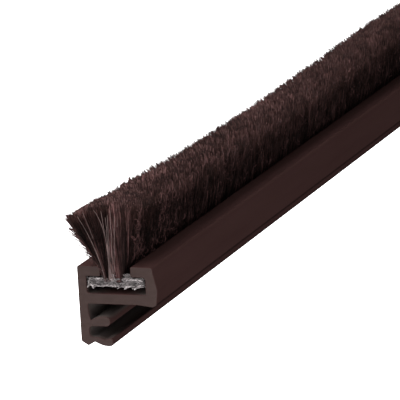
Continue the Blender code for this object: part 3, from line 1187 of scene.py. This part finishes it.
def core_section(row, along):
    """The core's corners round its section: across, height over the root, share of the crest's wave."""
    side = row.side
    root = ROWS_MIDDLE + side * ROW_SPACING / 2
    fill = np.clip((along - CLOSE_STRETCH) / CORE_CHANGE, 0, 1)
    top = (CORE_HEIGHT + CORE_HEIGHT_GAIN * fill) * PILE_LENGTH
    chance = np.random.default_rng(SEED + CORE_SEED_STEP * side)
    valley = chance.exponential(CORE_RIDGE_DEPTH, len(along)).clip(0, 3 * CORE_RIDGE_DEPTH)
    outer = row.reach * (CORE_REACH + CORE_REACH_GAIN * fill) - fill * valley
    return [
        (root - side * CORE_ROOT * ROOT_WIDTH, 0, 0),
        (root + side * CORE_ROOT * ROOT_WIDTH, 0, 0),
        (POCKET_MIDDLE + side * CORE_MOUTH * MOUTH_HALF, LIP_TOP - ROOT_UP, 0),
        (POCKET_MIDDLE + side * outer, CORE_SHOULDER * top, 0.5),
        (POCKET_MIDDLE + side * CORE_CREST * outer, top, 1),
        (ROWS_MIDDLE + side * CORE_GAP, top + CORE_CROWN, 1),
    ]


def pile_core(row, material):
    """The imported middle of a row, fuller and ridged where its fibres are coarser."""
    plain = np.linspace(CORE_SETBACK, CLOSE_STRETCH, CORE_PLAIN_STEPS, endpoint=False)
    along = np.append(plain, np.linspace(CLOSE_STRETCH, LENGTH - CORE_SETBACK, CORE_RIDGES))
    wave = crest_wave(along)
    section = core_section(row, along)
    rings = [
        placed(across, ROOT_UP + height + share * wave, along) for across, height, share in section
    ]
    points = np.stack(rings, axis=1).reshape(-1, 3)
    count = len(section)
    first = np.arange(count)[None, :]
    faces = [joined_rings(len(along), count), first, first + len(points) - count]
    piece = mesh_object("pile_core_" + row.label, points, faces, [material])
    shape = bmesh.new()
    shape.from_mesh(piece.data)
    bmesh.ops.recalc_face_normals(shape, faces=shape.faces)
    shape.to_mesh(piece.data)
    shape.free()
    dress(piece, "pile", row.node)


def pile(fibre, pale_fibre, core):
    """Both rows with their cores, and the hairs that have come out of them."""
    for row in (WEB_ROW, WALL_ROW):
        chance = np.random.default_rng(SEED + ROW_SEED_STEP * row.side)
        close_stretch(row, chance, fibre)
        long_stretch(row, chance, fibre)
        pile_strands(row, chance, fibre)
        pile_core(row, core)
    wild_hairs(WALL_ROW, np.random.default_rng(WILD_SEED), fibre)
    bright_hairs(pale_fibre)
    splayed_hairs(fibre)


# Studio

FLOOR_SIZE = 9.0
FLOOR_CELLS = 8
SKY_STRENGTH = 0.25
PICTURE_LENS = 334.35
PICTURE_SENSOR = 36

# Where the camera stands, and its turn about the frame's axes in degrees
VIEW_PLACE = (-0.104068, -0.869445, 0.150473)
VIEW_TURN = (-4.22078, -70.35062, 80.511)


def floor():
    bpy.ops.mesh.primitive_grid_add(
        x_subdivisions=FLOOR_CELLS, y_subdivisions=FLOOR_CELLS, size=FLOOR_SIZE
    )
    ground = bpy.context.object
    ground.name = "studio_floor"
    ground.location = (0, 0, carrier_low.z)
    ground.data.materials.append(floor_material())


def area_light(name, place, aim, size, power):
    light = bpy.data.lights.new(name, "AREA")
    light.size = size
    light.energy = power
    lamp = bpy.data.objects.new(name, light)
    lamp.location = place
    lamp.rotation_mode = "QUATERNION"
    lamp.rotation_quaternion = (Vector(aim) - Vector(place)).to_track_quat("-Z", "Y")
    bpy.context.scene.collection.objects.link(lamp)
    return light


def camera():
    """The picture's view: the strip's cut end comes towards the camera, with its pile upwards."""
    data = bpy.data.cameras.new("picture_camera")
    data.lens = PICTURE_LENS
    data.sensor_width = PICTURE_SENSOR
    data.clip_start = 0.01
    data.clip_end = 40
    view = bpy.data.objects.new("picture_camera", data)
    view.rotation_euler = [math.radians(angle) for angle in VIEW_TURN]
    view.location = VIEW_PLACE
    bpy.context.scene.collection.objects.link(view)
    bpy.context.scene.camera = view


def sky():
    world = bpy.data.worlds.new("studio")
    world.use_nodes = True
    background = world.node_tree.nodes["Background"]
    background.inputs["Color"].default_value = (1, 1, 1, 1)
    background.inputs["Strength"].default_value = SKY_STRENGTH
    bpy.context.scene.world = world
    bpy.context.scene.view_settings.view_transform = "Standard"


def lights():
    """Three soft lights round the end in the picture, and a long one over the rest of the strip."""
    area_light(
        "above_pile",
        place=(-0.15, NEAR_END - 0.08, 0.05),
        aim=(0, NEAR_END + 0.02, 0),
        size=0.03,
        power=0.07,
    )
    area_light(
        "beside_wall",
        place=(0.1, NEAR_END - 0.1, 0.35),
        aim=(0, NEAR_END + 0.03, 0),
        size=0.2,
        power=0.74,
    )
    area_light(
        "before_end",
        place=(-0.3, NEAR_END - 0.6, 0.06),
        aim=(0, NEAR_END, 0),
        size=0.1,
        power=0.3,
    )
    along_strip = area_light(
        "along_strip", place=(-0.35, 0.2, 0.8), aim=(0, 0.2, 0), size=0.3, power=2.5
    )
    along_strip.shape = "RECTANGLE"
    along_strip.size_y = 0.8
    along_strip.spread = math.radians(35)


def main():
    fibre = fibre_material("pile_fibre", FIBRE_PALEST)
    pale_fibre = fibre_material("pile_pale_fibre", PALE_FIBRE_PALEST)
    core = core_material()
    thread = thread_material()
    carrier()
    backing([("near", 0.0, 1.0), ("far", LENGTH, -1.0)], thread)
    pile(fibre, pale_fibre, core)
    floor()
    camera()
    sky()
    lights()


main()
bpy.context.view_layer.update()
